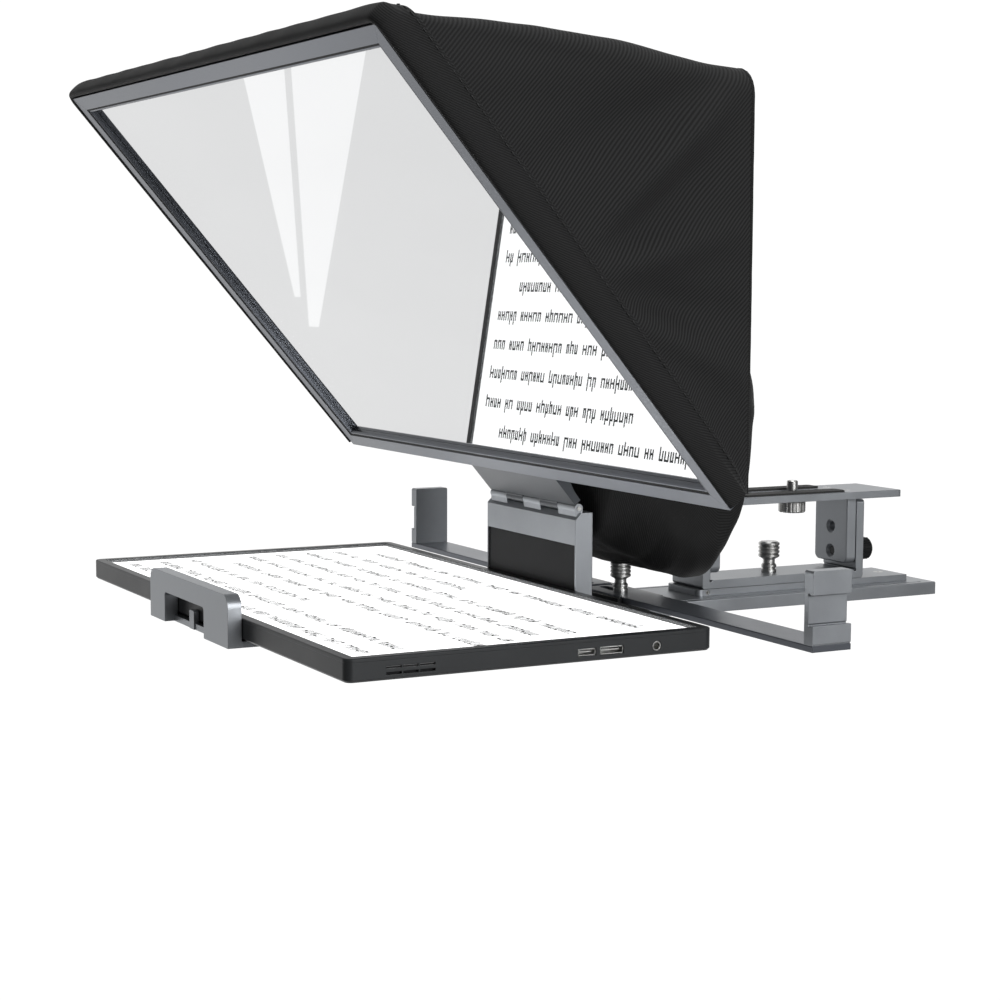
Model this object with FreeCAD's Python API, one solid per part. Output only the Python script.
import FreeCAD, Part
import math
import os

from FreeCAD import Placement, Rotation, Vector

# Camera-mounted teleprompter: a base rail that screws to a tripod, a sliding camera platform,
# a column with a folding beam-splitter mirror and its fabric hood, and a tray with a flat display.
#
# Frame: millimetres, +Z up, -Y towards the person being filmed, +X to that person's right hand.
# Origin: the mouth of the 3/8 inch tripod thread, on the underside of the base rail.

# --- base rail and what lies in it ---------------------------------------------------------
RAIL_HALF = 28.0
RAIL_Y = (-122.0, 150.0)
RAIL_H = 7.0
THREAD_38_R = 4.76
THREAD_14_R = 3.175
THREAD_14_Y = -25.0
THREAD_14_DEPTH = 6.0
STRIP_HALF = 16.0
STRIP_Y = (-5.0, 138.0)
STRIP_TOP = 10.5
SLOT_HALF = 4.1
SLOT_Y = (35.0, 101.0)
KEY_HALF = 13.0
NUT_POCKET_HALF = 9.0
POCKET_FLOOR = 2.5
GROOVE_X = 24.0
STRIP_SCREWS = [(0, 16.0), (0, 112.0), (0, 130.0)]
STOP_Y = 1.4
STOP_Z = 8.8
TAP_M4_R = 2.06
TAP_M3_R = 1.25

# --- camera carriage, riser legs and camera plate ------------------------------------------
CARRIAGE_HALF = 15.2
CARRIAGE_Y = (-1.5, 107.1)
CARRIAGE_Z = (10.6, 15.3)
UPRIGHT_T = 5.0
UPRIGHT_TOP = 55.2
CARRIAGE_MID = sum(CARRIAGE_Y) / 2
LEG_T = 6.6
LEG_HALF = 15.0
LEG_BOTTOM = 19.0
SLIDE_GAP = 0.1
LEG_REAR_Y = (CARRIAGE_Y[1] - UPRIGHT_T - SLIDE_GAP - LEG_T, CARRIAGE_Y[1] - UPRIGHT_T - SLIDE_GAP)
LEG_FRONT_Y = (CARRIAGE_Y[0] + UPRIGHT_T + SLIDE_GAP, CARRIAGE_Y[0] + UPRIGHT_T + SLIDE_GAP + LEG_T)
LEG_SCREW_X = 9.0
LEG_SCREWS = [(x, sum(y) / 2) for x in (-LEG_SCREW_X, LEG_SCREW_X) for y in (LEG_FRONT_Y, LEG_REAR_Y)]
PLATE_HALF = 20.4
PLATE_Y = (-12.0, 130.0)
PLATE_Z = (56.3, 60.3)
PLATE_SLOT_Y = (38.0, 88.0)
PLATE_SLOT_HALF = 4.5
PAD_T = 1.0
KNOB_Z = 25.0
SPARE_HOLE_Z = 39.1
KNOB_R = 6.4
KNOB_HOLE_R = 2.46
KNOB_SLOT_HALF = 2.7
KNOB_SLOT_TOP = 52.0
CAMERA_SCREW_Y = 68.0
SCREW_REACH = 4.5

# --- cross base, sliding side arms and their end brackets ----------------------------------
ARM_Y = (-70.2, -48.8)
ARM_Z = (12.05, 15.0)
ARM_X = (3.0, 208.6)
ARM_TRAVEL = 16.0
ARM_SCREW_X = 24.6
ARM_MID = sum(ARM_Y) / 2
CROSS_HALF = 45.0
CROSS_LIP = 3.2
BRACKET_X = (202.0, 208.6)
BRACKET_WALL = 3.2
BRACKET_SCREW_X = 205.3
BRACKET_TOP = 49.0
BRACKET_SCREW_Y = (ARM_Y[0] + 6.0, ARM_Y[1] - 6.0)
ARM_SLOT_HALF = 2.6
CROSS_SCREWS = [(x, y) for x in (-19.5, 19.5) for y in (ARM_Y[0] - 4.8, ARM_Y[1] + 4.8)]

# --- column and mirror hinge ----------------------------------------------------------------
COLUMN_HALF = 48.4
COLUMN_Y = (-100.9, -90.7)
COLUMN_TOP = 60.5
COLUMN_BEVEL = 3.5
PANEL_TOP = 44.0
HINGE_Y = -97.8
HINGE_Z = 62.6
PIN_R = 1.2
KNUCKLE_R = 2.4
KNUCKLE_EDGES = (-46.3, -27.9, -9.3, 9.3, 27.9, 46.3)
KNUCKLE_GAP = 0.15
COLUMN_SCREWS = [(x, sum(COLUMN_Y) / 2) for x in (-22.0, 22.0)]

# --- mirror frame, in its own plane: x across, y up the slope, z out of the front ----------
MIRROR_W = 407.0
MIRROR_H = 263.0
MIRROR_TILT = 49.4
MIRROR_FOOT = Vector(0, -112, 78)
SLOPE = Placement(MIRROR_FOOT, Rotation(Vector(1, 0, 0), 180.0 - MIRROR_TILT))
FRAME_T = 9.0
FACE_W = 11.0
FACE_GROOVE = (8.2, 9.4, -1.6)
GLASS_INSET = 8.0
GLASS_Z = (-6.0, -3.5)
KEY_SCREWS = (9.0, 15.0)
BACK_GROOVE_S = 4.7
LEAF_HALF = 46.3
LEAF_SCREW_X = (-36.0, -12.0, 12.0, 36.0)
LEAF_BACK = -12.2
LEAF_SIDE = [
    (-18.2, -0.3), (-18.2, -4.2), (-12.0, -4.6), (-8.0, -5.6), (-5.0, -7.6), (-3.2, LEAF_BACK),
    (9.0, LEAF_BACK), (9.0, -9.1), (-0.1, -9.1), (-0.1, -0.3),
]

# --- fabric hood and lens sleeve -------------------------------------------------------------
HEM_OUT = 3.6
HEM_TOP = 4.2
HEM_BACK = -FRAME_T - 0.3
HOOD_HALF = 207.0
FABRIC_T = 2.0
HOOD_BACK_Y = -100.0
HOOD_TOP_BACK_Z = 265.0
HOOD_BOTTOM_Z = 91.0
LENS_Z = 112.0
LENS_HOLE_R = 34.0
SLEEVE_HALF = 62.0
SLEEVE_T = 2.5
SLEEVE_BACK = 14.0
SLEEVE_SIDE = [
    (-98.0, 91.0), (-87.0, 76.0), (-87.0, 45.0), (-42.0, 27.0), (-22.0, 27.0), (-9.0, 46.0),
    (-3.0, 68.0), (3.0, 75.0), (SLEEVE_BACK, 75.0), (SLEEVE_BACK, 149.0), (-98.0, 156.0),
]
SLEEVE_PLAN = [
    (-SLEEVE_HALF, -98.0), (SLEEVE_HALF, -98.0), (SLEEVE_HALF, -16.0), (40.0, SLEEVE_BACK),
    (-40.0, SLEEVE_BACK), (-SLEEVE_HALF, -16.0),
]
PLATFORM_SADDLE = ((-24.0, 24.0), (-27.0, 40.0), (0.0, 77.0))
SLEEVE_MOUTH = ((-55.0, 55.0), (94.0, 152.0))

# --- display tray, front clip and display ----------------------------------------------------
DISPLAY_HALF = 175.0
DISPLAY_Y = (-283.8, -101.2)
DISPLAY_Z = (10.6, 21.0)
SHELL_T = 1.6
BEZEL_T = 1.8
BEZEL_W = 5.0
TRAY_HALF = 14.0
TRAY_Y = (-282.0, -48.0)
TRAY_Z = (7.05, 9.6)
TRAY_SLOT = (14.1, 9.9)
CLIP_HALF = 55.5
CLIP_Y = (-291.0, -284.1)
CLIP_TOP = 32.0
PAD_GAP = 0.3
LOCK_Y = -112.0
CLIP_FOOT_BACK = -250.0
CLIP_FOOT_TOP = 10.0
LAP_Z = 8.4
CLIP_SCREWS = [(x, y) for x in (-8.0, 8.0) for y in (-274.0, -258.0)]
TAB_X = (-9.3, -2.8)
WINDOW_X = (-33.5, 23.0)
WINDOW_TOP = 22.0
PORT_Z = 14.8
SCREEN_Z = (DISPLAY_Z[1] - 3.5, DISPLAY_Z[1] - 1.9)
COVER_Z = (DISPLAY_Z[1] - 1.8, DISPLAY_Z[1] - 0.3)
JACK_Y = -131.3
JACK_R = 2.2
# Each socket: its place along the edge, half its width and half its height.
SOCKETS = [(-167.7, 4.5, 1.5), (-154.9, 6.0, 1.7)]
# Each key: its place along the edge and half its length.
POWER_KEY = (-215.0, 5.0)
MENU_KEY = (-190.0, 8.0)
KEY_TALL = 1.5
SPEAKER_Y = (-261.7, -253.8, -245.9)


def box(x, y, z):
    """Block between three (low, high) pairs."""
    return Part.makeBox(x[1] - x[0], y[1] - y[0], z[1] - z[0], Vector(x[0], y[0], z[0]))


def rod(radius, start, end):
    """Round rod between two points."""
    a, b = Vector(*start), Vector(*end)
    return Part.makeCylinder(radius, (b - a).Length, a, b - a)


def cone(r1, r2, start, end):
    """Tapered rod, r1 at the start and r2 at the end."""
    a, b = Vector(*start), Vector(*end)
    return Part.makeCone(r1, r2, (b - a).Length, a, b - a)


def prism(points, thickness):
    """Flat plate: a closed outline of points, pushed along the vector thickness."""
    face = Part.Face(Part.makePolygon(points + points[:1]))
    return face.extrude(thickness)


def side_plate(outline, x):
    """Plate between two x values, from an outline of (y, z) corners."""
    return prism([Vector(x[0], y, z) for y, z in outline], Vector(x[1] - x[0], 0, 0))


def turned(profile, base, axis):
    """Solid of revolution from (radius, height) points, standing at base along axis."""
    points = [Vector(r, 0, h) for r, h in profile]
    face = Part.Face(Part.makePolygon(points + points[:1]))
    solid = face.revolve(Vector(0, 0, 0), Vector(0, 0, 1), 360)
    solid.Placement = Placement(Vector(*base), Rotation(Vector(0, 0, 1), Vector(*axis)))
    return solid


def slot(length_y, radius, z, x=0.0):
    """Cutter for a round-ended slot along Y, through the height z."""
    y0, y1 = length_y
    cut = box((x - radius, x + radius), (y0 + radius, y1 - radius), z)
    for y in (y0 + radius, y1 - radius):
        cut = cut.fuse(rod(radius, (x, y, z[0]), (x, y, z[1])))
    return cut


def merged(shapes):
    """One solid from touching shapes."""
    first, *rest = shapes
    return first.multiFuse(rest).removeSplitter() if rest else first


def group(shapes):
    """Separate identical pieces kept in one node."""
    return Part.makeCompound(shapes)


def rounded(shape, radius, picks):
    """Fillet the straight edges that the function picks chooses by their midpoint and direction."""
    edges = []
    for edge in shape.Edges:
        if isinstance(edge.Curve, Part.Line):
            middle = (edge.Vertexes[0].Point + edge.Vertexes[1].Point) * 0.5
            if picks(middle, edge.tangentAt(edge.FirstParameter)):
                edges.append(edge)
    return shape.makeFillet(radius, edges)


def countersunk_screw(point, axis, length, radius=1.5, head=2.9):
    """Flat-head screw with a hexagon socket; point is the centre of its flush head."""
    head_h = head - radius
    profile = [(0, 0), (head, 0), (radius, head_h), (radius, length), (0, length)]
    screw = turned(profile, (0, 0, 0), (0, 0, 1))
    key = Vector(radius * 0.75, 0, -0.1)
    corners = [Rotation(Vector(0, 0, 1), 60.0 * i).multVec(key) for i in range(6)]
    screw = screw.cut(prism(corners, Vector(0, 0, head_h * 0.8)))
    screw.Placement = Placement(Vector(*point), Rotation(Vector(0, 0, 1), Vector(*axis)))
    return screw


def countersink(point, axis, length, radius=1.5, head=2.9):
    """Matching hole for a countersunk screw, a little larger all round."""
    clear = 0.05
    profile = [
        (0, -0.2),
        (head + clear + 0.2, -0.2),
        (radius + clear, head - radius),
        (radius + clear, length + 0.3),
        (0, length + 0.3),
    ]
    return turned(profile, point, axis)


def knurled_screw(base, scale, shaft_r, shaft_len):
    """Tall turned thumb screw: ringed head, waisted neck, foot flange and threaded shaft."""
    ring_r, groove_r = 5.4 * scale, 4.75 * scale
    head_low, pitch = 7.4 * scale, 2.0 * scale
    profile = [(0, -shaft_len), (shaft_r, -shaft_len), (shaft_r, 0)]
    profile += [(3.9 * scale, 0), (3.9 * scale, 1.5 * scale), (3.3 * scale, 1.9 * scale)]
    profile += [(3.9 * scale, 2.7 * scale), (3.9 * scale, 3.6 * scale), (3.1 * scale, 4.6 * scale)]
    profile += [(3.1 * scale, 6.5 * scale), (4.4 * scale, head_low)]
    for i in range(4):
        low = head_low + i * pitch
        profile += [(groove_r, low + 0.1), (ring_r, low + 0.3 * pitch), (ring_r, low + 0.8 * pitch)]
        profile += [(groove_r, low + pitch)]
    profile += [(groove_r - 0.6, head_low + 4 * pitch + 0.4), (0, head_low + 4 * pitch + 0.4)]
    return turned(profile, base, (0, 0, 1))


def clamp_knob(base, axis, radius, neck_r, neck_len, head_len, shaft_r, shaft_len):
    """Clamp knob: fluted head with a coin slot in its end, plain neck and threaded shaft."""
    total = neck_len + head_len
    profile = [(0, -shaft_len), (shaft_r, -shaft_len), (shaft_r, 0), (neck_r, 0), (neck_r, neck_len)]
    profile += [(radius - 0.8, neck_len), (radius, neck_len + 0.8), (radius, total - 1.2)]
    profile += [(radius - 1.2, total), (0, total)]
    knob = turned(profile, (0, 0, 0), (0, 0, 1))
    flutes = 16
    for i in range(flutes):
        a = 2 * math.pi * i / flutes
        x, y = (radius + 0.35) * math.cos(a), (radius + 0.35) * math.sin(a)
        knob = knob.cut(rod(0.75, (x, y, neck_len - 1), (x, y, total + 1)))
    knob = knob.cut(box((-1.15, 1.15), (-radius - 1, radius + 1), (total - 2.0, total + 1)))
    knob.Placement = Placement(Vector(*base), Rotation(Vector(0, 0, 1), Vector(*axis)))
    return knob


# --- base -----------------------------------------------------------------------------------


def base_rail():
    """Wide flat rail with its two tripod threads, a pocket for the sliding nut and two grooves."""
    rail = box((-RAIL_HALF, RAIL_HALF), RAIL_Y, (0, RAIL_H))
    rail = rounded(rail, 1.2, lambda m, d: abs(d.z) > 0.9)
    rail = rounded(rail, 0.6, lambda m, d: abs(d.y) > 0.9 and m.z > RAIL_H - 0.1)
    rail = rail.cut(rod(THREAD_38_R, (0, 0, -1), (0, 0, RAIL_H + 1)))
    rail = rail.cut(rod(THREAD_14_R, (0, THREAD_14_Y, -1), (0, THREAD_14_Y, THREAD_14_DEPTH)))
    rail = rail.cut(slot(SLOT_Y, NUT_POCKET_HALF, (POCKET_FLOOR, RAIL_H + 1)))
    rail = rail.cut(rod(TAP_M4_R, (0, LOCK_Y, -1), (0, LOCK_Y, RAIL_H + 1)))
    for x in (-GROOVE_X, GROOVE_X):
        groove = box((x - 0.8, x + 0.8), (-36.0, RAIL_Y[1] - 8), (RAIL_H - 0.8, RAIL_H + 1))
        rail = rail.cut(groove)
    for x, y in STRIP_SCREWS:
        rail = rail.cut(rod(1.45, (x, y, 3.4), (x, y, RAIL_H + 1)))
    for x, y in CROSS_SCREWS + COLUMN_SCREWS:
        rail = rail.cut(countersink((x, y, 0), (0, 0, 1), RAIL_H))
    return rail


def guide_strip():
    """Raised strip on the rail that the camera carriage runs along."""
    strip = box((-STRIP_HALF, STRIP_HALF), STRIP_Y, (RAIL_H, STRIP_TOP))
    strip = rounded(strip, 3.0, lambda m, d: abs(d.z) > 0.9 and m.y < 0)
    strip = strip.cut(slot(SLOT_Y, SLOT_HALF, (RAIL_H - 1, STRIP_TOP + 1)))
    for x, y in STRIP_SCREWS:
        strip = strip.cut(countersink((x, y, STRIP_TOP), (0, 0, -1), STRIP_TOP - RAIL_H))
    for side in (-1, 1):
        x = side * STRIP_HALF
        strip = strip.cut(rod(TAP_M3_R, (x - side * 5, STOP_Y, STOP_Z), (x + side, STOP_Y, STOP_Z)))
    return strip


def base_screws():
    """Countersunk screws that hold the strip, the cross base and the column to the rail."""
    screws = [countersunk_screw((x, y, STRIP_TOP), (0, 0, -1), 6.6, 1.4) for x, y in STRIP_SCREWS]
    for x, y in CROSS_SCREWS:
        screws.append(countersunk_screw((x, y, 0), (0, 0, 1), 10.2))
    for x, y in COLUMN_SCREWS:
        screws.append(countersunk_screw((x, y, 0), (0, 0, 1), 14.0))
    return group(screws)


def stop_screws():
    """Small grub screws in the strip's two sides that stop the carriage."""
    screws = []
    for side in (-1, 1):
        x = side * STRIP_HALF
        body = rod(1.2, (x - side * 4.8, STOP_Y, STOP_Z), (x - side * 0.3, STOP_Y, STOP_Z))
        screws.append(body.cut(rod(0.6, (x - side * 1.8, STOP_Y, STOP_Z), (x, STOP_Y, STOP_Z))))
    return group(screws)


def cross_base():
    """Block across the rail: lips guide both side arms, and a tunnel lets the tray arm through."""
    y0, y1 = ARM_Y[0] - CROSS_LIP, ARM_Y[1] + CROSS_LIP
    block = box((-CROSS_HALF, CROSS_HALF), (y0, y1), (RAIL_H, ARM_Z[1] - 0.6))
    foot = box((-RAIL_HALF, RAIL_HALF), (y0 - 4.6, y1 + 4.6), (RAIL_H, ARM_Z[0] - 0.65))
    block = merged([block, foot])
    arms = (ARM_Y[0] - SLIDE_GAP, ARM_Y[1] + SLIDE_GAP)
    block = block.cut(box((-CROSS_HALF - 1, CROSS_HALF + 1), arms, (ARM_Z[0] - 0.05, 30)))
    block = block.cut(box((-TRAY_SLOT[0], TRAY_SLOT[0]), (y0 - 10, y1 + 10), (RAIL_H - 1, TRAY_SLOT[1])))
    for x in (-ARM_SCREW_X, ARM_SCREW_X):
        block = block.cut(rod(TAP_M4_R, (x, ARM_MID, RAIL_H - 1), (x, ARM_MID, 20)))
    for x, y in CROSS_SCREWS:
        block = block.cut(rod(1.55, (x, y, RAIL_H - 1), (x, y, 10.4)))
    return rounded(block, 1.0, lambda m, d: abs(d.z) > 0.9 and abs(m.x) > CROSS_HALF - 0.1)


def column():
    """Broad upright plate with a bevelled top edge and the fixed hinge knuckles."""
    y0, y1 = COLUMN_Y
    outline = [(y0, RAIL_H), (y0, COLUMN_TOP - COLUMN_BEVEL), (y0 + COLUMN_BEVEL, COLUMN_TOP)]
    outline += [(y1, COLUMN_TOP), (y1, RAIL_H)]
    plate = side_plate(outline, (-COLUMN_HALF, COLUMN_HALF))
    plate = rounded(plate, 0.5, lambda m, d: abs(d.z) > 0.9)
    recess = box((-COLUMN_HALF + 0.8, COLUMN_HALF - 0.8), (y0 - 1, y0 + 1.9), (RAIL_H - 1, PANEL_TOP))
    plate = plate.cut(recess)
    plate = plate.cut(box((-TRAY_SLOT[0], TRAY_SLOT[0]), (y0 - 1, y1 + 1), (RAIL_H - 1, TRAY_SLOT[1])))
    for x in (-34.0, 34.0):
        plate = plate.cut(box((x - 9, x + 9), (y1 - 4, y1 + 1), (16, 46)))
    for x in knuckle_spans(1):
        relief = (x[0] - 2 * KNUCKLE_GAP, x[1] + 2 * KNUCKLE_GAP)
        ends = [(end, HINGE_Y, HINGE_Z) for end in relief]
        plate = plate.cut(rod(KNUCKLE_R + 0.35, *ends))
    for x in knuckle_spans(0):
        lug = [(-1.6, -4.3), (-2.0, -1.0), (2.2, -1.0), (2.4, -2.6)]
        plate = merged([plate, knuckle(x, lug)])
    plate = plate.cut(rod(PIN_R, (-60, HINGE_Y, HINGE_Z), (60, HINGE_Y, HINGE_Z)))
    for x, y in COLUMN_SCREWS:
        plate = plate.cut(rod(1.55, (x, y, RAIL_H - 1), (x, y, 14.3)))
    return plate


def knuckle_spans(first):
    """The x spans of every second hinge knuckle: first 0 for the column, 1 for the bracket."""
    pairs = list(zip(KNUCKLE_EDGES, KNUCKLE_EDGES[1:]))[first::2]
    return [(x0 + KNUCKLE_GAP, x1 - KNUCKLE_GAP) for x0, x1 in pairs]


def knuckle(x, web):
    """One hinge knuckle over the span x, with its web given as (y, z) corners from the hinge axis."""
    barrel = rod(KNUCKLE_R, (x[0], HINGE_Y, HINGE_Z), (x[1], HINGE_Y, HINGE_Z))
    return merged([barrel, side_plate([(HINGE_Y + y, HINGE_Z + z) for y, z in web], x)])


def column_panel():
    """Thin dark panel let into the front of the column."""
    y0 = COLUMN_Y[0] + 0.8
    half = COLUMN_HALF - 0.9
    panel = box((-half, half), (y0, y0 + 1.1), (RAIL_H + 0.1, PANEL_TOP - 0.1))
    panel = panel.cut(box((-TRAY_SLOT[0], TRAY_SLOT[0]), (y0 - 1, y0 + 2), (RAIL_H, TRAY_SLOT[1])))
    return rounded(panel, 0.5, lambda m, d: abs(d.y) > 0.9 and m.z > PANEL_TOP - 1)


def hinge_pin():
    """Steel pin through all the hinge knuckles."""
    ends = (KNUCKLE_EDGES[0] - 0.4, KNUCKLE_EDGES[-1] + 0.4)
    return rod(PIN_R, (ends[0], HINGE_Y, HINGE_Z), (ends[1], HINGE_Y, HINGE_Z))


def rest_pads():
    """Two rubber pads on the rail's front end that carry the display's back edge."""
    y, z = (RAIL_Y[0] + 2, RAIL_Y[0] + 14), (RAIL_H, DISPLAY_Z[0] - PAD_GAP)
    return group([box((side * 21 - 4.5, side * 21 + 4.5), y, z) for side in (-1, 1)])


# --- camera carriage and platform -----------------------------------------------------------


def upright_plate(y):
    """Upright end of the carriage, slotted for its clamp knob."""
    plate = box((-CARRIAGE_HALF, CARRIAGE_HALF), y, (CARRIAGE_Z[0], UPRIGHT_TOP))
    plate = rounded(plate, 2.0, lambda m, d: abs(d.y) > 0.9 and m.z > UPRIGHT_TOP - 0.1)
    half = KNOB_SLOT_HALF
    ends = (KNOB_Z - 0.1, KNOB_SLOT_TOP - half)
    cut = box((-half, half), (y[0] - 1, y[1] + 1), ends)
    for z in ends:
        cut = cut.fuse(rod(half, (0, y[0] - 1, z), (0, y[1] + 1, z)))
    return plate.cut(cut)


def carriage_bracket():
    """U-shaped carriage: a foot that runs on the strip, between two uprights."""
    y0, y1 = CARRIAGE_Y
    foot = box((-CARRIAGE_HALF, CARRIAGE_HALF), CARRIAGE_Y, CARRIAGE_Z)
    bracket = merged([foot, upright_plate((y0, y0 + UPRIGHT_T)), upright_plate((y1 - UPRIGHT_T, y1))])
    bracket = rounded(bracket, 1.5, lambda m, d: abs(d.x) > 0.9 and m.z < CARRIAGE_Z[0] + 0.1)
    for y in (y0 + UPRIGHT_T + 0.4, y1 - UPRIGHT_T - 0.4):
        bracket = bracket.cut(rod(0.9, (-20, y, CARRIAGE_Z[1]), (20, y, CARRIAGE_Z[1])))
    key_y = (CARRIAGE_MID - KEY_HALF, CARRIAGE_MID + KEY_HALF)
    key = box((-4.0, 4.0), key_y, (RAIL_H + 0.6, CARRIAGE_Z[0] + 0.5))
    bracket = merged([bracket, key])
    return bracket.cut(rod(2.58, (0, CARRIAGE_MID, 0), (0, CARRIAGE_MID, 20)))


def carriage_nut():
    """T-nut under the strip that the carriage screw pulls up."""
    nut = box((-8.5, 8.5), (CARRIAGE_MID - 8.5, CARRIAGE_MID + 8.5), (3.2, RAIL_H - SLIDE_GAP))
    nut = rounded(nut, 1.0, lambda m, d: abs(d.z) > 0.9)
    return nut.cut(rod(2.56, (0, CARRIAGE_MID, 0), (0, CARRIAGE_MID, 10)))


def riser_leg(y, out):
    """Leg of the camera platform, sliding against an upright; out points to that upright."""
    leg = box((-LEG_HALF, LEG_HALF), y, (LEG_BOTTOM, PLATE_Z[0]))
    leg = rounded(leg, 3.5, lambda m, d: abs(d.y) > 0.9 and m.z < LEG_BOTTOM + 0.1)
    inner = y[0] if out > 0 else y[1]
    for z in (KNOB_Z, SPARE_HOLE_Z):
        leg = leg.cut(rod(KNOB_HOLE_R, (0, y[0] - 1, z), (0, y[1] + 1, z)))
        leg = leg.cut(cone(4.0, KNOB_HOLE_R, (0, inner - out * 0.01, z), (0, inner + out * 1.2, z)))
    for x in (-LEG_SCREW_X, LEG_SCREW_X):
        leg = leg.cut(rod(TAP_M3_R, (x, sum(y) / 2, PLATE_Z[0] - 6.5), (x, sum(y) / 2, PLATE_Z[0] + 1)))
    corners = [e for e in leg.Edges if isinstance(e.Curve, Part.Line)
               and abs(e.tangentAt(e.FirstParameter).z) > 0.9 and abs(e.CenterOfMass.x) > LEG_HALF - 0.1]
    return leg.makeChamfer(0.6, corners)


def riser_knob(y, out):
    """Clamp knob that holds a riser leg against its upright; out is the way its head points."""
    return clamp_knob((0, y, KNOB_Z), (0, out, 0), KNOB_R, 4.2, 3.4, 11.0, 2.4, 10.5)


def camera_plate():
    """Flat camera plate with a long slot and a bevelled back end."""
    y0, y1 = PLATE_Y
    low, top = PLATE_Z
    outline = [(y0, low), (y0, top), (y1 - 1.5, top), (y1, top - 1.2), (y1, low)]
    plate = side_plate(outline, (-PLATE_HALF, PLATE_HALF))
    plate = rounded(plate, 2.5, lambda m, d: abs(d.z) > 0.9)
    plate = plate.cut(slot(PLATE_SLOT_Y, PLATE_SLOT_HALF, (PLATE_Z[0] - 1, PLATE_Z[1] + 1)))
    for x, y in LEG_SCREWS:
        plate = plate.cut(countersink((x, y, PLATE_Z[1]), (0, 0, -1), 5.0, 1.2, 2.4))
    return plate


def leg_screws():
    """Countersunk screws from the camera plate into the two legs."""
    return group([countersunk_screw((x, y, PLATE_Z[1]), (0, 0, -1), 10.0, 1.2, 2.4) for x, y in LEG_SCREWS])


def camera_pad():
    """Rubber strips beside the slot that keep the camera from turning."""
    z = (PLATE_Z[1], PLATE_Z[1] + PAD_T)
    strips = [box((min(s * 7, s * 18), max(s * 7, s * 18)), (24.0, 92.0), z) for s in (-1, 1)]
    return group([rounded(s, 2.0, lambda m, d: abs(d.z) > 0.9) for s in strips])


def screw_bush():
    """Shouldered bush that slides in the plate's slot and carries the camera screw."""
    y = CAMERA_SCREW_Y
    bush = rod(7.5, (0, y, PLATE_Z[0] - 1.6), (0, y, PLATE_Z[0] - SLIDE_GAP))
    bush = merged([bush, rod(4.4, (0, y, PLATE_Z[0] - 0.5), (0, y, PLATE_Z[1] - 0.3))])
    return bush.cut(rod(3.25, (0, y, 40), (0, y, 70)))


def camera_screw():
    """Captive quarter inch camera screw: knurled head below the plate, thin shank, thread above it."""
    z = PLATE_Z[0] - 1.7
    rest = PLATE_Z[1] + PAD_T + 0.05 - z
    head = [(0, -6.2), (7.0, -6.2), (7.6, -5.6), (7.6, -0.6), (7.0, 0)]
    shank = [(2.5, 0), (2.5, rest), (THREAD_14_R, rest)]
    end = rest + SCREW_REACH
    thread = [(THREAD_14_R, end), (2.6, end + 0.5), (0, end + 0.5)]
    screw = turned(head + shank + thread, (0, CAMERA_SCREW_Y, z), (0, 0, 1))
    for i in range(20):
        a = 2 * math.pi * i / 20
        x, y = 7.95 * math.cos(a), CAMERA_SCREW_Y + 7.95 * math.sin(a)
        screw = screw.cut(rod(0.6, (x, y, z - 7), (x, y, z + 0.5)))
    return screw.cut(box((-1.1, 1.1), (CAMERA_SCREW_Y - 9, CAMERA_SCREW_Y + 9), (z - 8, z - 5.0)))


# --- side arms ------------------------------------------------------------------------------


def arm_bar(side):
    """Flat bar of a side arm, slotted where its clamp screw passes."""
    x0, x1 = sorted((side * ARM_X[0], side * ARM_X[1]))
    bar = box((x0, x1), ARM_Y, ARM_Z)
    x0, x1 = sorted((side * (ARM_SCREW_X - ARM_TRAVEL), side * ARM_SCREW_X))
    cut = box((x0, x1), (ARM_MID - ARM_SLOT_HALF, ARM_MID + ARM_SLOT_HALF), (10, 20))
    for x in (x0, x1):
        cut = cut.fuse(rod(ARM_SLOT_HALF, (x, ARM_MID, 10), (x, ARM_MID, 20)))
    bar = bar.cut(cut)
    for y in BRACKET_SCREW_Y:
        bar = bar.cut(countersink((side * BRACKET_SCREW_X, y, ARM_Z[0]), (0, 0, 1), 3.0, 1.2, 2.4))
    return rounded(bar, 0.5, lambda m, d: abs(d.x) > 0.9 and m.z > ARM_Z[1] - 0.1)


def end_bracket(side):
    """Upright end bracket: thick top and foot blocks with a recessed wall between them."""
    x0, x1 = sorted((side * BRACKET_X[0], side * BRACKET_X[1]))
    z0, top = ARM_Z[1], BRACKET_TOP
    block = box((x0, x1), ARM_Y, (z0, top))
    block = rounded(block, 1.2, lambda m, d: abs(d.x) > 0.9 and m.z > top - 0.1)
    foot_top, head_low = z0 + 9.0, top - 11.0
    wall = side * (BRACKET_X[0] + BRACKET_WALL)
    cut_x = sorted((wall, side * (BRACKET_X[1] + 1)))
    block = block.cut(box(cut_x, (ARM_Y[0] - 1, ARM_Y[1] + 1), (foot_top, head_low)))
    for z in (foot_top, head_low):
        x = wall + side * 0.3
        block = block.cut(rod(0.8, (x, ARM_Y[0] - 1, z), (x, ARM_Y[1] + 1, z)))
    groove_x = sorted((side * (BRACKET_X[1] - 0.5), side * (BRACKET_X[1] + 1)))
    block = block.cut(box(groove_x, (ARM_Y[0] - 1, ARM_Y[1] + 1), (z0 - 1, z0 + 0.6)))
    x = side * BRACKET_SCREW_X
    for y in BRACKET_SCREW_Y:
        block = block.cut(rod(TAP_M3_R, (x, y, z0 - 1), (x, y, z0 + 6.4)))
    return block


def bracket_screws(side):
    """Countersunk screws up through the arm into the end bracket."""
    x = side * BRACKET_SCREW_X
    return group([countersunk_screw((x, y, ARM_Z[0]), (0, 0, 1), 9.2, 1.2, 2.4) for y in BRACKET_SCREW_Y])


# --- mirror, hinge bracket and frame --------------------------------------------------------


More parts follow.
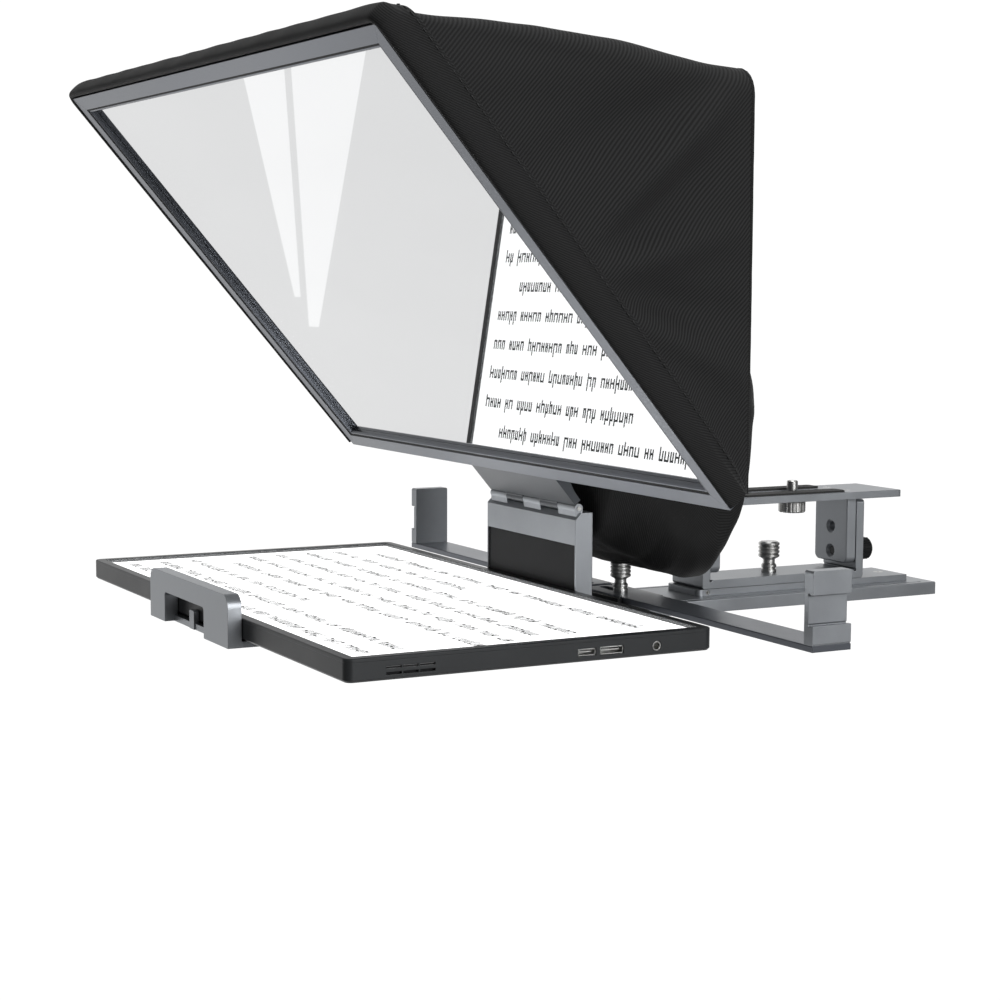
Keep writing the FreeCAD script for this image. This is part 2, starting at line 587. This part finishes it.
def on_slope(shape):
    """Carry a shape from the mirror's own plane to its place in the object."""
    placed = shape.copy()
    placed.Placement = SLOPE.multiply(placed.Placement)
    return placed


def frame_bar(length):
    """One mitred bar of the frame, its outer edge along x at y = 0."""
    near, far, deep = FACE_GROOVE
    profile = [(0, 0), (near, 0), (near, deep), (far, deep), (far, -0.5), (10.2, -0.5), (FACE_W, -1.6)]
    behind, front = GLASS_Z[0] - 0.1, GLASS_Z[1] + 0.1
    profile += [(FACE_W, front), (7.4, front), (7.4, behind), (FACE_W, behind)]
    profile += [(FACE_W, -FRAME_T), (6.9, -FRAME_T), (6.9, -7.0), (2.5, -7.0), (2.5, -FRAME_T), (0, -FRAME_T)]
    half = length / 2
    bar = prism([Vector(-half, a, z) for a, z in profile], Vector(length, 0, 0))
    mitre = [(-half, 0), (half, 0), (half - 20, 20), (-half + 20, 20)]
    bar = bar.common(prism([Vector(x, a, -20) for x, a in mitre], Vector(0, 0, 40)))
    for sx in (-1, 1):
        for along in KEY_SCREWS:
            x = sx * (half - along)
            bar = bar.cut(rod(0.95, (x, BACK_GROOVE_S, -FRAME_T - 1), (x, BACK_GROOVE_S, -3.0)))
    return bar


def placed_bars():
    """The four bars: bottom, top, and the two sides."""
    half_w, half_h = MIRROR_W / 2, MIRROR_H / 2
    spots = {
        "frame_bar_bottom": (MIRROR_W, Vector(0, 0, 0), 0),
        "frame_bar_top": (MIRROR_W, Vector(0, MIRROR_H, 0), 180),
        "frame_bar_left": (MIRROR_H, Vector(-half_w, half_h, 0), -90),
        "frame_bar_right": (MIRROR_H, Vector(half_w, half_h, 0), 90),
    }
    bars = {}
    for name, (length, spot, turn) in spots.items():
        bar = frame_bar(length)
        bar.Placement = Placement(spot, Rotation(Vector(0, 0, 1), turn))
        bars[name] = bar
    holes = [rod(TAP_M3_R, (x, BACK_GROOVE_S, -10), (x, BACK_GROOVE_S, -3.0)) for x in LEAF_SCREW_X]
    bars["frame_bar_bottom"] = bars["frame_bar_bottom"].cut(group(holes))
    return bars


def at_corners(shape):
    """Copies of a corner piece, mirrored into the frame's four corners."""
    middle = Vector(0, MIRROR_H / 2, 0)
    across = shape.mirror(middle, Vector(1, 0, 0))
    return [shape, across] + [s.mirror(middle, Vector(0, 1, 0)) for s in (shape, across)]


def corner_keys():
    """L-shaped steel keys set in the back groove of each mitred corner."""
    x = MIRROR_W / 2
    leg_x = box((x - 20.0, x - 2.6), (2.6, 6.8), (-8.9, -7.1))
    leg_y = box((x - 6.8, x - 2.6), (2.6, 20.0), (-8.9, -7.1))
    key = merged([leg_x, leg_y])
    for along in KEY_SCREWS:
        for a, b in ((x - along, BACK_GROOVE_S), (x - BACK_GROOVE_S, along)):
            key = key.cut(rod(1.0, (a, b, -10), (a, b, -5)))
    return group(at_corners(key))


def small_screw(point, axis, length):
    """Cheese-head screw with a cross recess."""
    profile = [(0, -1.1), (1.7, -1.1), (1.9, -0.9), (1.9, 0), (0.9, 0), (0.9, length), (0, length)]
    screw = turned(profile, (0, 0, 0), (0, 0, 1))
    screw = screw.cut(box((-1.2, 1.2), (-0.25, 0.25), (-1.2, -0.6)))
    screw = screw.cut(box((-0.25, 0.25), (-1.2, 1.2), (-1.2, -0.6)))
    screw.Placement = Placement(Vector(*point), Rotation(Vector(0, 0, 1), Vector(*axis)))
    return screw


def frame_screws():
    """Screws of the corner keys and of the hinge bracket."""
    x = MIRROR_W / 2
    screws = []
    for along in KEY_SCREWS:
        screws += at_corners(small_screw((x - along, BACK_GROOVE_S, -8.9), (0, 0, 1), 5.5))
        screws += at_corners(small_screw((x - BACK_GROOVE_S, along, -8.9), (0, 0, 1), 5.5))
    for x in LEAF_SCREW_X:
        screws.append(countersunk_screw((x, BACK_GROOVE_S, LEAF_BACK), (0, 0, 1), 9.0, 1.2, 2.4))
    return group(screws)


def mirror_glass():
    """Beam-splitter glass, held in the frame's inner groove."""
    x, s = MIRROR_W / 2 - GLASS_INSET, (GLASS_INSET, MIRROR_H - GLASS_INSET)
    return box((-x, x), s, GLASS_Z)


def glass_gasket():
    """Thin black ring pressed into the groove on the face of the frame."""
    near, far, deep = FACE_GROOVE
    outer, inner, z = near + 0.05, far - 0.05, (deep + 0.05, -0.35)
    x, h = MIRROR_W / 2, MIRROR_H
    ring = box((-x + outer, x - outer), (outer, h - outer), z)
    return ring.cut(box((-x + inner, x - inner), (inner, h - inner), (-3, 1)))


def hinge_bracket():
    """Hinge bracket below the frame: a curved section that thickens to a screw flange, and knuckles."""
    section = [Vector(-LEAF_HALF, along, out) for along, out in LEAF_SIDE]
    bracket = prism(section, Vector(2 * LEAF_HALF, 0, 0))
    for x in LEAF_SCREW_X:
        bracket = bracket.cut(countersink((x, BACK_GROOVE_S, LEAF_BACK), (0, 0, 1), 3.1, 1.2, 2.4))
    bracket = on_slope(bracket)
    web = [(-2.36, 1.6), (0.68, 4.2), (2.0, 1.2), (-1.6, -1.2)]
    bracket = merged([bracket] + [knuckle(x, web) for x in knuckle_spans(1)])
    return bracket.cut(rod(PIN_R + 0.05, (-60, HINGE_Y, HINGE_Z), (60, HINGE_Y, HINGE_Z)))


# --- hood -----------------------------------------------------------------------------------


def hood_hem():
    """Padded hem that grips the frame's top edge and its two sides."""
    x, h = MIRROR_W / 2, MIRROR_H
    outer = box((-x - HEM_OUT, x + HEM_OUT), (2.0, h + HEM_TOP), (HEM_BACK, 0.6))
    inner = box((-x - 0.3, x + 0.3), (0, h + 0.3), (HEM_BACK - 1, 2))
    return on_slope(outer.cut(inner))


def hood_corners():
    """Where the side panels start and end on the slope, as (y, z)."""
    low = SLOPE.multVec(Vector(0, 2.0, HEM_BACK))
    high = SLOPE.multVec(Vector(0, MIRROR_H + HEM_TOP - 0.6, HEM_BACK))
    return (low.y, low.z), (high.y, high.z)


def hood_side(side):
    """Side panel of the hood."""
    low, high = hood_corners()
    outline = [low, high, (HOOD_BACK_Y, HOOD_TOP_BACK_Z), (HOOD_BACK_Y, HOOD_BOTTOM_Z)]
    x = sorted((side * (HOOD_HALF - FABRIC_T), side * HOOD_HALF))
    return side_plate(outline, x)


def hood_top():
    """Top panel of the hood, from the frame's top edge to the back panel."""
    high = hood_corners()[1]
    under = SLOPE.multVec(Vector(0, MIRROR_H + HEM_TOP - 4.6, HEM_BACK))
    outline = [high, (HOOD_BACK_Y, HOOD_TOP_BACK_Z), (HOOD_BACK_Y, HOOD_TOP_BACK_Z - 2.5)]
    outline.append((under.y, under.z))
    half = HOOD_HALF - FABRIC_T - 0.1
    return side_plate(outline, (-half, half))


def grown(block, by):
    """A block given as three (low, high) pairs, made larger by the same amount on every face."""
    return box(*[(low - by, high + by) for low, high in block])


def moved_in(outline, inset):
    """A counter-clockwise outline with every one of its sides moved in by inset."""
    corners = [Vector(a, b, 0) for a, b in outline]
    moved = []
    for before, here, after in zip(corners[-1:] + corners[:-1], corners, corners[1:] + corners[:1]):
        arriving, leaving = (here - before).normalize(), (after - here).normalize()
        inward = Vector(-arriving.y - leaving.y, arriving.x + leaving.x, 0)
        corner = here + inward * (inset / (1 + arriving.dot(leaving)))
        moved.append((corner.x, corner.y))
    return moved


def sleeve_body(inset):
    """Bag shape of the lens sleeve, every wall moved in by inset, with the platform's saddle cut out."""
    half = SLEEVE_HALF - inset
    bag = side_plate(moved_in(SLEEVE_SIDE, inset), (-half, half))
    plan = prism([Vector(x, y, 0) for x, y in moved_in(SLEEVE_PLAN, inset)], Vector(0, 0, 200))
    return bag.common(plan).cut(grown(PLATFORM_SADDLE, inset)).removeSplitter()


def lens_sleeve():
    """Soft bag from the hood's back to the lens, closed but for the round lens hole."""
    bag = sleeve_body(0).cut(sleeve_body(SLEEVE_T))
    bag = bag.cut(box(SLEEVE_MOUTH[0], (HOOD_BACK_Y, HOOD_BACK_Y + 8), SLEEVE_MOUTH[1]))
    return bag.cut(rod(LENS_HOLE_R, (0, SLEEVE_BACK - 10, LENS_Z), (0, SLEEVE_BACK + 5, LENS_Z)))


def hood_back():
    """Back panel of the hood, open to the lens sleeve."""
    y = (HOOD_BACK_Y, HOOD_BACK_Y + FABRIC_T)
    panel = box((-HOOD_HALF, HOOD_HALF), y, (HOOD_BOTTOM_Z, HOOD_TOP_BACK_Z))
    window = box(SLEEVE_MOUTH[0], (y[0] - 1, y[1] + 1), SLEEVE_MOUTH[1])
    return panel.cut(rounded(window, 20.0, lambda m, d: abs(d.y) > 0.9))


# --- display tray and front clip ------------------------------------------------------------


def tray_arm():
    """Flat arm under the display; its front end is halved to lap over the clip's foot."""
    arm = box((-TRAY_HALF, TRAY_HALF), TRAY_Y, TRAY_Z)
    arm = rounded(arm, 2.0, lambda m, d: abs(d.z) > 0.9)
    arm = arm.cut(box((-20, 20), (TRAY_Y[0] - 1, CLIP_FOOT_BACK + 0.2), (TRAY_Z[0] - 1, LAP_Z)))
    for x, y in CLIP_SCREWS:
        arm = arm.cut(countersink((x, y, TRAY_Z[1]), (0, 0, -1), 1.3, 1.0, 1.8))
    return arm


def front_clip():
    """Clip: an upright face with a window in front of the display, and a foot under it."""
    face = box((-CLIP_HALF, CLIP_HALF), CLIP_Y, (RAIL_H, CLIP_TOP))
    face = rounded(face, 6.0, lambda m, d: abs(d.y) > 0.9 and m.z > CLIP_TOP - 0.1)
    foot = box((-CLIP_HALF, CLIP_HALF), (CLIP_Y[0], CLIP_FOOT_BACK), (RAIL_H, CLIP_FOOT_TOP))
    foot = rounded(foot, 4.0, lambda m, d: abs(d.z) > 0.9 and m.y > CLIP_FOOT_BACK - 0.1)
    foot = foot.cut(box((-TRAY_HALF - 0.1, TRAY_HALF + 0.1), (TRAY_Y[0] - 0.2, 0), (LAP_Z, RAIL_H + 9)))
    clip = merged([face, foot])
    window = box(WINDOW_X, (CLIP_Y[0] - 1, CLIP_Y[1] + 1), (RAIL_H + 3.0, WINDOW_TOP))
    window = rounded(window, 2.0, lambda m, d: abs(d.y) > 0.9 and m.z > WINDOW_TOP - 0.1)
    clip = clip.cut(window)
    clip = clip.cut(box(WINDOW_X, (CLIP_Y[0] - 1, CLIP_Y[1] - 2.0), (RAIL_H - 1, RAIL_H + 3.1)))
    tab = box(TAB_X, (CLIP_Y[1] - 2.6, CLIP_Y[1]), (RAIL_H, 16.2))
    clip = merged([clip, rounded(tab, 1.0, lambda m, d: abs(d.y) > 0.9 and m.z > 16)])
    for x, y in CLIP_SCREWS:
        clip = clip.cut(rod(1.05, (x, y, RAIL_H - 1), (x, y, LAP_Z + 1)))
    return clip


def clip_pads():
    """Rubber pads on the clip's foot and along the tray arm, under the display."""
    top = DISPLAY_Z[0] - PAD_GAP
    foot = [box(x, (-280.0, -254.0), (CLIP_FOOT_TOP, top)) for x in ((-50.0, -18.0), (18.0, 50.0))]
    arm = [box((-9.0, 9.0), (y, y + 22.0), (TRAY_Z[1], top)) for y in (-240.0, -180.0)]
    return group(foot + arm)


def clip_screws():
    """Countersunk screws from the tray arm down into the clip's foot."""
    return group([countersunk_screw((x, y, TRAY_Z[1]), (0, 0, -1), 2.5, 1.0, 1.8) for x, y in CLIP_SCREWS])


def tray_lock():
    """Clamp knob under the rail that locks the tray arm."""
    return clamp_knob((0, LOCK_Y, -0.2), (0, 0, -1), KNOB_R, 3.6, 2.0, 8.0, 2.0, 7.0)


# --- display --------------------------------------------------------------------------------


def edge_hole(side, y, half_y, half_z, z):
    """Block that cuts a hole in the display's right (1) or left (-1) edge."""
    edge = side * DISPLAY_HALF
    return box((edge - 3, edge + 3), (y - half_y, y + half_y), (z - half_z, z + half_z))


def display_back():
    """Back shell of the display, with holes for its ports, keys and speakers."""
    x, y, z = (-DISPLAY_HALF, DISPLAY_HALF), DISPLAY_Y, (DISPLAY_Z[0], DISPLAY_Z[1] - BEZEL_T)
    shell = box(x, y, z)
    shell = rounded(shell, 4.0, lambda m, d: abs(d.z) > 0.9)
    shell = shell.makeChamfer(1.0, [e for e in shell.Edges if e.BoundBox.ZMax < DISPLAY_Z[0] + 0.1])
    inner_x, inner_y = [(low + SHELL_T, high - SHELL_T) for low, high in (x, y)]
    inner = box(inner_x, inner_y, (z[0] + SHELL_T, z[1] + 1))
    shell = shell.cut(rounded(inner, 2.5, lambda m, d: abs(d.z) > 0.9))
    for y0, half_y, half_z in SOCKETS:
        shell = shell.cut(edge_hole(1, y0, half_y + 0.2, half_z + 0.2, PORT_Z))
    jack_ends = [(x, JACK_Y, PORT_Z) for x in (DISPLAY_HALF - 3, DISPLAY_HALF + 1)]
    shell = shell.cut(rod(JACK_R + 0.1, *jack_ends))
    for side in (-1, 1):
        for row in (PORT_Z - 1.3, PORT_Z + 1.3):
            for y0 in SPEAKER_Y:
                shell = shell.cut(edge_hole(side, y0, 3.6, 0.55, row))
    for y0, half_y in (POWER_KEY, MENU_KEY):
        shell = shell.cut(edge_hole(-1, y0, half_y + 0.1, KEY_TALL + 0.1, PORT_Z))
    return shell


def display_bezel():
    """Thin bezel round the screen."""
    z = (DISPLAY_Z[1] - BEZEL_T, DISPLAY_Z[1])
    ring = rounded(box((-DISPLAY_HALF, DISPLAY_HALF), DISPLAY_Y, z), 4.0, lambda m, d: abs(d.z) > 0.9)
    ring = ring.makeChamfer(0.4, [e for e in ring.Edges if e.BoundBox.ZMin > DISPLAY_Z[1] - 0.1])
    x, y = DISPLAY_HALF - BEZEL_W, (DISPLAY_Y[0] + BEZEL_W, DISPLAY_Y[1] - BEZEL_W)
    return ring.cut(box((-x, x), y, (z[0] - 1, z[1] + 1)))


def screen_plate(z, inset):
    """Flat plate inside the bezel, as large as the bezel's opening less inset."""
    edge = BEZEL_W + inset
    half = DISPLAY_HALF - edge
    return box((-half, half), (DISPLAY_Y[0] + edge, DISPLAY_Y[1] - edge), z)


def display_board():
    """Driver board with its main chips and connectors."""
    z = DISPLAY_Z[0] + SHELL_T + 0.8
    board = box((60.0, 160.0), (-240.0, -126.0), (z, z + 1.2))
    chips = []
    for x, y in ((84, -210), (120, -190), (96, -160)):
        chips.append(box((x, x + 14), (y, y + 14), (z + 1.2, z + 2.4)))
    posts = [rod(2.0, (x, y, DISPLAY_Z[0] + SHELL_T), (x, y, z)) for x in (66, 154) for y in (-234, -132)]
    return merged([board] + chips + posts)


def display_battery():
    """Flat battery cells beside the board."""
    z = (DISPLAY_Z[0] + SHELL_T, DISPLAY_Z[0] + SHELL_T + 3.6)
    return group([rounded(box((x, x + 92), (-262.0, -124.0), z), 2.0, lambda m, d: abs(d.z) > 0.9)
                  for x in (-150.0, -50.0)])


def display_speakers():
    """Two small speaker boxes behind the slots in the display's edges."""
    boxes = []
    for side in (-1, 1):
        x = sorted((side * (DISPLAY_HALF - SHELL_T - 0.2), side * (DISPLAY_HALF - 14.0)))
        boxes.append(box(x, (-271.0, -241.0), (DISPLAY_Z[0] + SHELL_T, 16.0)))
    return group(boxes)


def display_ports():
    """Metal port sockets in the display's edge: two slot sockets and an audio jack."""
    x1 = DISPLAY_HALF - 0.3
    sockets = []
    for y, half_y, half_z in SOCKETS:
        shell = box((x1 - 7.0, x1), (y - half_y, y + half_y), (PORT_Z - half_z, PORT_Z + half_z))
        shell = rounded(shell, 1.0, lambda m, d: abs(d.x) > 0.9)
        inside = (y - half_y + 0.4, y + half_y - 0.4), (PORT_Z - half_z + 0.4, PORT_Z + half_z - 0.4)
        hollow = box((x1 - 6.0, x1 + 1), *inside)
        tongue_y = (y - half_y + 1.4, y + half_y - 1.4)
        tongue = box((x1 - 6.5, x1 - 1.5), tongue_y, (PORT_Z - 0.35, PORT_Z + 0.35))
        sockets.append(merged([shell.cut(hollow), tongue]))
    jack = rod(JACK_R, (x1 - 9, JACK_Y, PORT_Z), (x1, JACK_Y, PORT_Z))
    jack = jack.cut(rod(JACK_R - 0.6, (x1 - 8, JACK_Y, PORT_Z), (x1 + 1, JACK_Y, PORT_Z)))
    return group(sockets + [jack])


def edge_key(y, half_y):
    """Slim key in the display's edge, with a collar that keeps it in."""
    wall = -DISPLAY_HALF + SHELL_T
    tall = (PORT_Z - KEY_TALL, PORT_Z + KEY_TALL)
    head = box((-DISPLAY_HALF - 0.6, wall + 0.9), (y - half_y, y + half_y), tall)
    head = rounded(head, 0.5, lambda m, d: abs(d.x) > 0.9)
    z = (PORT_Z - KEY_TALL - 0.6, PORT_Z + KEY_TALL + 0.6)
    collar = box((wall + 0.1, wall + 0.9), (y - half_y - 1, y + half_y + 1), z)
    return merged([head, collar])


def build():
    """Every node of the object, by name."""
    nodes = {
        "base_rail": base_rail(),
        "guide_strip": guide_strip(),
        "base_screws": base_screws(),
        "stop_screws": stop_screws(),
        "cross_base": cross_base(),
        "column": column(),
        "column_panel": column_panel(),
        "hinge_pin": hinge_pin(),
        "rest_pads": rest_pads(),
        "carriage_bracket": carriage_bracket(),
        "carriage_nut": carriage_nut(),
        "carriage_screw": knurled_screw((0, CARRIAGE_MID, CARRIAGE_Z[1] + 0.05), 1.1, 2.5, 11.0),
        "camera_plate": camera_plate(),
        "riser_leg_front": riser_leg(LEG_FRONT_Y, -1),
        "riser_leg_rear": riser_leg(LEG_REAR_Y, 1),
        "leg_screws": leg_screws(),
        "camera_pad": camera_pad(),
        "riser_knob_front": riser_knob(CARRIAGE_Y[0] - 0.1, -1),
        "riser_knob_rear": riser_knob(CARRIAGE_Y[1] + 0.1, 1),
        "screw_bush": screw_bush(),
        "camera_screw": camera_screw(),
        "tray_arm": tray_arm(),
        "front_clip": front_clip(),
        "clip_pads": clip_pads(),
        "clip_screws": clip_screws(),
        "tray_lock": tray_lock(),
        "corner_keys": on_slope(corner_keys()),
        "frame_screws": on_slope(frame_screws()),
        "mirror_glass": on_slope(mirror_glass()),
        "glass_gasket": on_slope(glass_gasket()),
        "hinge_bracket": hinge_bracket(),
        "hood_hem": hood_hem(),
        "hood_top": hood_top(),
        "hood_side_left": hood_side(-1),
        "hood_side_right": hood_side(1),
        "hood_back": hood_back(),
        "lens_sleeve": lens_sleeve(),
        "display_back": display_back(),
        "display_bezel": display_bezel(),
        "display_screen": screen_plate(SCREEN_Z, -2.0),
        "display_glass": screen_plate(COVER_Z, 0.1),
        "display_board": display_board(),
        "display_battery": display_battery(),
        "display_speakers": display_speakers(),
        "display_ports": display_ports(),
        "power_key": edge_key(*POWER_KEY),
        "menu_key": edge_key(*MENU_KEY),
    }
    for name, bar in placed_bars().items():
        nodes[name] = on_slope(bar)
    for name, side in (("left", -1), ("right", 1)):
        nodes["arm_bar_" + name] = arm_bar(side)
        nodes["end_bracket_" + name] = end_bracket(side)
        nodes["bracket_screws_" + name] = bracket_screws(side)
        foot = (side * ARM_SCREW_X, ARM_MID, ARM_Z[1] + 0.05)
        nodes["arm_screw_" + name] = knurled_screw(foot, 1.0, 2.0, 7.4)
    return nodes


os.makedirs("parts", exist_ok=True)
for node_name, shape in build().items():
    if not shape.isValid() or shape.Volume <= 0:
        raise RuntimeError("bad shape: " + node_name)
    shape.exportStep("parts/" + node_name + ".step")
    print(node_name, len(shape.Solids), round(shape.Volume / 1000, 2), "cm3")
